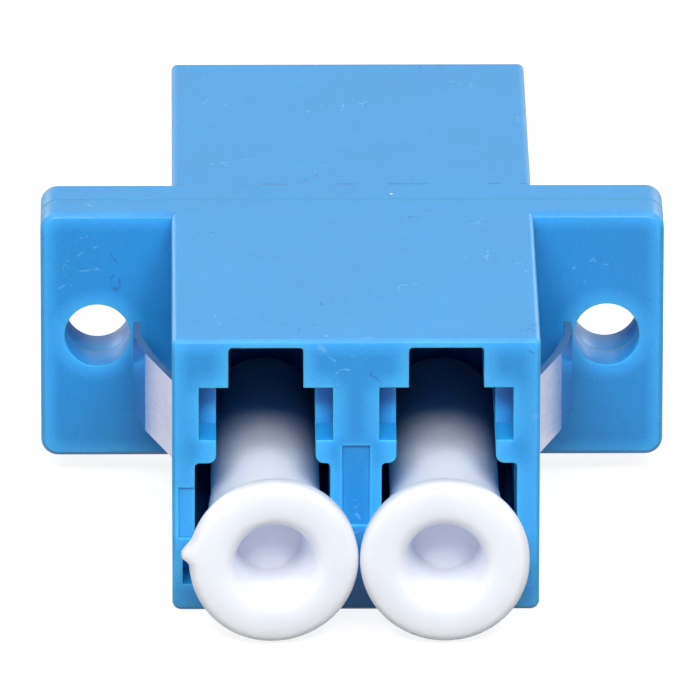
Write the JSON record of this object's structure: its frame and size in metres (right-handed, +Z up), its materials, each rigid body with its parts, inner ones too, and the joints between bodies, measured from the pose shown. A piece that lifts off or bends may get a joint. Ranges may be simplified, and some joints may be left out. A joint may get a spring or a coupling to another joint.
{
  "type": "lc fibre adapter",
  "caption": "Duplex fibre optic adapter with a flanged moulded body, spring clip for a panel and soft dust caps in its ports.",
  "frame": {"origin": "on the underside of the body, on its centre line, in the plane where the two moulded halves are welded", "axes": "+Z up out of the top of the body, with the plugs' latches on top; -Y out of the front ports, +Y out of the rear ports; +X to the right, seen from the front"},
  "size_m": [0.022, 0.0351, 0.01],
  "materials": {
    "blue_plastic": "satin",
    "spring_steel": "satin",
    "ceramic": "satin",
    "soft_plastic": "satin"
  },
  "bodies": {
    "adapter": {"front_housing": "blue_plastic", "rear_housing": "blue_plastic", "spring_clip": "spring_steel", "sleeve_left": "ceramic", "sleeve_right": "ceramic"},
    "cap_front_left": {"cap_front_left": "soft_plastic"},
    "cap_front_right": {"cap_front_right": "soft_plastic"},
    "cap_rear_left": {"cap_rear_left": "soft_plastic"},
    "cap_rear_right": {"cap_rear_right": "soft_plastic"}
  },
  "joints": [
    {"name": "cap_front_left_pull", "type": "slide", "parent": "adapter", "child": "cap_front_left", "axis": [0, -1, 0], "range_m": [0, 0.015]},
    {"name": "cap_front_right_pull", "type": "slide", "parent": "adapter", "child": "cap_front_right", "axis": [0, -1, 0], "range_m": [0, 0.015]},
    {"name": "cap_rear_left_pull", "type": "slide", "parent": "adapter", "child": "cap_rear_left", "axis": [0, 1, 0], "range_m": [0, 0.015]},
    {"name": "cap_rear_right_pull", "type": "slide", "parent": "adapter", "child": "cap_rear_right", "axis": [0, 1, 0], "range_m": [0, 0.015]}
  ]
}
